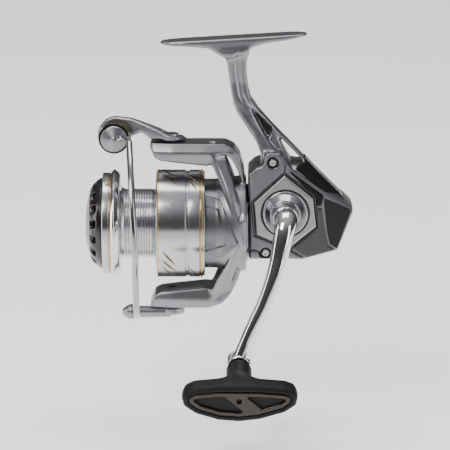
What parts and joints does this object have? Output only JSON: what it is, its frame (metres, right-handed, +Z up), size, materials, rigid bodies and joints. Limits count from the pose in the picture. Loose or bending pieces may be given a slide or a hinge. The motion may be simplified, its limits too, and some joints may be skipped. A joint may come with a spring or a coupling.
{
  "type": "spinning reel",
  "caption": "Fishing reel with a foot on a stem, a turning rotor with a folding bail, an oscillating spool with a front drag knob, and a cranked handle with a cross-bar grip.",
  "frame": {"origin": "centre of the foot seat, the top face that lies against the rod", "axes": "+X along the spool axis towards the back of the body, +Z up through the foot, -Y towards the crank handle"},
  "size_m": [0.134, 0.118, 0.1754],
  "materials": {
    "silver_casting": "satin metallic paint on cast aluminium",
    "spool_aluminium": "turned and polished aluminium",
    "chrome": "polished",
    "gold": "polished gold anodising",
    "black_gloss": "glossy black",
    "charcoal": "fine matte grain",
    "grey_panel": "satin warm grey",
    "bronze": "dark bronze metallic",
    "rubber": "matte moulded rubber",
    "brass": "machined",
    "felt": "oiled felt",
    "steel": "machined"
  },
  "bodies": {
    "frame": {"housing": "silver_casting", "side_cover": "silver_casting", "engine_plate": "silver_casting", "cover_screws": "steel", "side_collar": "chrome", "rear_guard": "black_gloss", "rear_panel": "charcoal", "trim_panel": "grey_panel", "far_cap": "chrome", "drive_bearings": "steel", "pinion_bearings": "steel", "clutch_race": "steel", "clutch_rollers": "steel", "clutch_retainer": "steel", "retainer_screws": "steel", "guide_rod": "steel", "worm_bushes": "brass"},
    "crank": {"drive_gear": "brass", "crank_hub": "chrome", "crank_arm": "chrome", "knob_pin": "steel", "knob_screw": "steel"},
    "knob": {"knob_bushes": "steel", "knob_grip": "rubber", "knob_inlay": "bronze"},
    "rotor": {"pinion": "brass", "clutch_sleeve": "steel", "rotor": "silver_casting", "rotor_nut": "brass", "nut_lock": "steel", "rotor_plate": "silver_casting", "bail_arm_cover": "charcoal", "lower_arm_cover": "charcoal", "bail_pivot_screws": "steel", "bail_spring": "steel"},
    "trip": {"trip_lever": "steel"},
    "bail": {"bail_lever": "silver_casting", "roller_cap": "silver_casting", "roller_screw": "steel", "bail_wire": "chrome", "bail_holder": "silver_casting"},
    "roller": {"line_roller": "gold", "roller_bearing": "steel"},
    "shaft": {"main_shaft": "steel", "crosshead": "brass", "crosshead_pawl": "steel", "crosshead_screw": "steel", "spool_bearings": "steel", "click_wheel": "steel"},
    "spool": {"spool": "spool_aluminium", "spool_lip": "chrome", "spool_rings": "gold", "drag_felts": "felt", "drag_discs": "steel", "drag_clip": "steel", "click_tongue": "steel"},
    "drag_knob": {"drag_knob": "black_gloss"},
    "drag_nut": {"drag_nut": "brass"},
    "worm": {"worm_shaft": "steel"},
    "idler": {"idler_gear": "brass"}
  },
  "joints": [
    {"name": "crank_turn", "type": "hinge", "parent": "frame", "child": "crank", "pos_m": [0.0255, 0, -0.0857], "axis": [0, -1, 0], "continuous": true},
    {"name": "knob_spin", "type": "hinge", "parent": "crank", "child": "knob", "pos_m": [0.0025, -0.052, -0.1538], "axis": [0, -0.9781, -0.2079], "continuous": true},
    {"name": "rotor_turn", "type": "hinge", "parent": "frame", "child": "rotor", "pos_m": [0.0255, 0, -0.0946], "axis": [1, 0, 0], "continuous": true},
    {"name": "bail_flip", "type": "hinge", "parent": "rotor", "child": "bail", "pos_m": [-0.0307, 0, -0.0946], "axis": [0, 0, -1], "range_deg": [0, 105]},
    {"name": "trip_swing", "type": "hinge", "parent": "rotor", "child": "trip", "pos_m": [-0.0307, 0, -0.0946], "axis": [0, 0, -1], "range_deg": [0, 15]},
    {"name": "roller_spin", "type": "hinge", "parent": "bail", "child": "roller", "pos_m": [-0.0593, -0.0016, -0.0506], "axis": [0, 1, 0], "continuous": true},
    {"name": "shaft_slide", "type": "slide", "parent": "frame", "child": "shaft", "axis": [1, 0, 0], "range_m": [-0.0165, 0]},
    {"name": "spool_turn", "type": "hinge", "parent": "shaft", "child": "spool", "pos_m": [-0.0495, 0, -0.0946], "axis": [1, 0, 0], "continuous": true},
    {"name": "drag_turn", "type": "hinge", "parent": "shaft", "child": "drag_knob", "pos_m": [-0.0675, 0, -0.0946], "axis": [-1, 0, 0], "range_deg": [-360, 360]},
    {"name": "nut_travel", "type": "slide", "parent": "drag_knob", "child": "drag_nut", "axis": [1, 0, 0], "range_m": [-0.00076, 0.00076]},
    {"name": "worm_turn", "type": "hinge", "parent": "frame", "child": "worm", "pos_m": [0.0255, -0.006, -0.1046], "axis": [1, 0, 0], "continuous": true},
    {"name": "idler_turn", "type": "hinge", "parent": "frame", "child": "idler", "pos_m": [0.0255, 0.0003, -0.10162], "axis": [1, 0, 0], "continuous": true}
  ],
  "couplings": [
    {"joint": "rotor_turn", "follows": "crank_turn", "ratio": -4.4},
    {"joint": "worm_turn", "follows": "crank_turn", "ratio": -4.4},
    {"joint": "idler_turn", "follows": "crank_turn", "ratio": 4.4},
    {"joint": "trip_swing", "follows": "bail_flip", "ratio": 0.14},
    {"joint": "nut_travel", "follows": "drag_turn", "m_per_rad": 0.000119}
  ]
}
